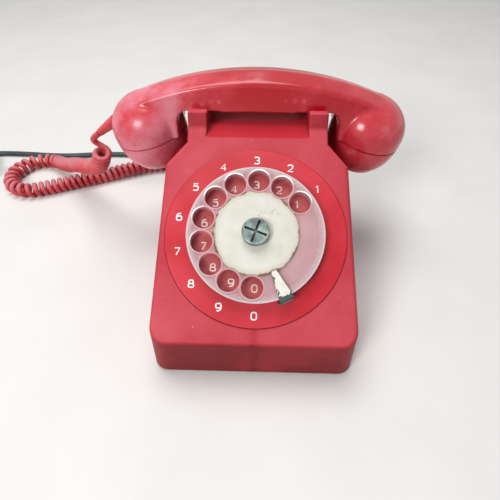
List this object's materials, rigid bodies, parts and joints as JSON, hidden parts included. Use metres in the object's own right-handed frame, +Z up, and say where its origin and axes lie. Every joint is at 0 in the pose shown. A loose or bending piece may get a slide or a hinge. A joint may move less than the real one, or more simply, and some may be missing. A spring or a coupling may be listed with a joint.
{
  "type": "rotary telephone",
  "caption": "Desk telephone with a sloping housing, clear finger wheel over a numbered dial, arched handset on cradle arms, curled handset cord and line cord.",
  "frame": {"origin": "on the table under the middle of the telephone, cords left out", "axes": "+X along the handset to the right, +Y to the back, +Z up"},
  "size_m": [0.4848, 0.2619, 0.1449],
  "materials": {
    "housing_abs": "moulded red ABS, faded and satin",
    "dial_red": "smooth red plastic",
    "handset_abs": "moulded red ABS, worn, with a chalky bloom",
    "clear_acrylic": "clear acrylic, scratched",
    "paper": "stained paper card",
    "zinc": "dull zinc plate",
    "painted_steel": "worn cream paint over steel",
    "steel": "plated steel",
    "brass": "stamped brass",
    "black_rubber": "moulded black rubber",
    "bakelite": "brown phenolic",
    "copper_winding": "taped copper winding",
    "white_nylon": "moulded nylon",
    "grey_steel": "grey lacquered steel plate",
    "cord_red": "red curled jacket",
    "cord_black": "dark grey jacket"
  },
  "bodies": {
    "base": {"base_plate": "grey_steel", "rubber_feet": "black_rubber", "base_screws": "steel", "housing": "housing_abs", "number_plate": "dial_red", "finger_stop": "painted_steel", "dial_frame": "steel", "dial_screws": "steel", "dial_spring": "steel", "impulse_contacts": "bakelite", "governor_cup": "brass", "hook_contacts": "bakelite", "gong_left": "steel", "gong_right": "steel", "gong_posts": "steel", "ringer_frame": "steel", "ringer_coils": "copper_winding", "volume_bracket": "steel", "capacitor": "bakelite", "induction_coil": "copper_winding", "terminal_board": "bakelite", "curl_gland": "cord_red", "line_gland": "black_rubber", "line_cord": "cord_black", "line_cord_coil": "cord_black", "cord_tie": "black_rubber", "plug_body": "bakelite", "plug_pins": "brass", "handset_cord": "cord_red"},
    "dial": {"finger_wheel": "clear_acrylic", "card": "paper", "centre_screw": "zinc", "dial_shaft": "steel", "main_gear": "brass"},
    "impulse": {"impulse_arbor": "steel", "impulse_wheel": "brass", "impulse_cam": "white_nylon"},
    "governor": {"governor_arbor": "steel", "governor_weights": "brass"},
    "hook": {"hook_plunger_left": "white_nylon", "hook_plunger_right": "white_nylon", "hook_yoke": "white_nylon"},
    "clapper": {"armature": "steel", "clapper": "brass"},
    "volume": {"volume_knob": "white_nylon"},
    "handset": {"handset_body": "handset_abs", "ear_cap": "handset_abs", "mouth_cap": "handset_abs", "receiver_capsule": "steel", "transmitter_capsule": "steel", "handset_sleeve": "cord_red"}
  },
  "joints": [
    {"name": "handset_lift", "type": "slide", "parent": "base", "child": "handset", "axis": [0, 0, 1], "range_m": [0, 0.11]},
    {"name": "dial_turn", "type": "hinge", "parent": "base", "child": "dial", "pos_m": [0, -0.03655, 0.07715], "axis": [0, -0.5299, 0.848], "range_deg": [-317, 0]},
    {"name": "impulse_turn", "type": "hinge", "parent": "base", "child": "impulse", "pos_m": [-0.02402, -0.04396, 0.07251], "axis": [0, -0.5299, 0.848], "range_deg": [-1, 1481.3]},
    {"name": "governor_turn", "type": "hinge", "parent": "base", "child": "governor", "pos_m": [-0.03019, -0.02957, 0.08151], "axis": [0, -0.5299, 0.848], "range_deg": [-4442, 1]},
    {"name": "hook_slide", "type": "slide", "parent": "base", "child": "hook", "axis": [0, 0, 1], "range_m": [0, 0.0052]},
    {"name": "clapper_swing", "type": "hinge", "parent": "base", "child": "clapper", "pos_m": [0, 0.03465, 0.02], "axis": [0, 0, 1], "range_deg": [-4, 4]},
    {"name": "volume_turn", "type": "hinge", "parent": "base", "child": "volume", "pos_m": [0, 0.08, 0.003], "axis": [0, 0, 1], "range_deg": [-60, 60]}
  ],
  "couplings": [
    {"joint": "impulse_turn", "follows": "dial_turn", "ratio": -4.6667},
    {"joint": "governor_turn", "follows": "dial_turn", "ratio": 14},
    {"joint": "hook_slide", "follows": "handset_lift", "ratio": 0.045455}
  ]
}
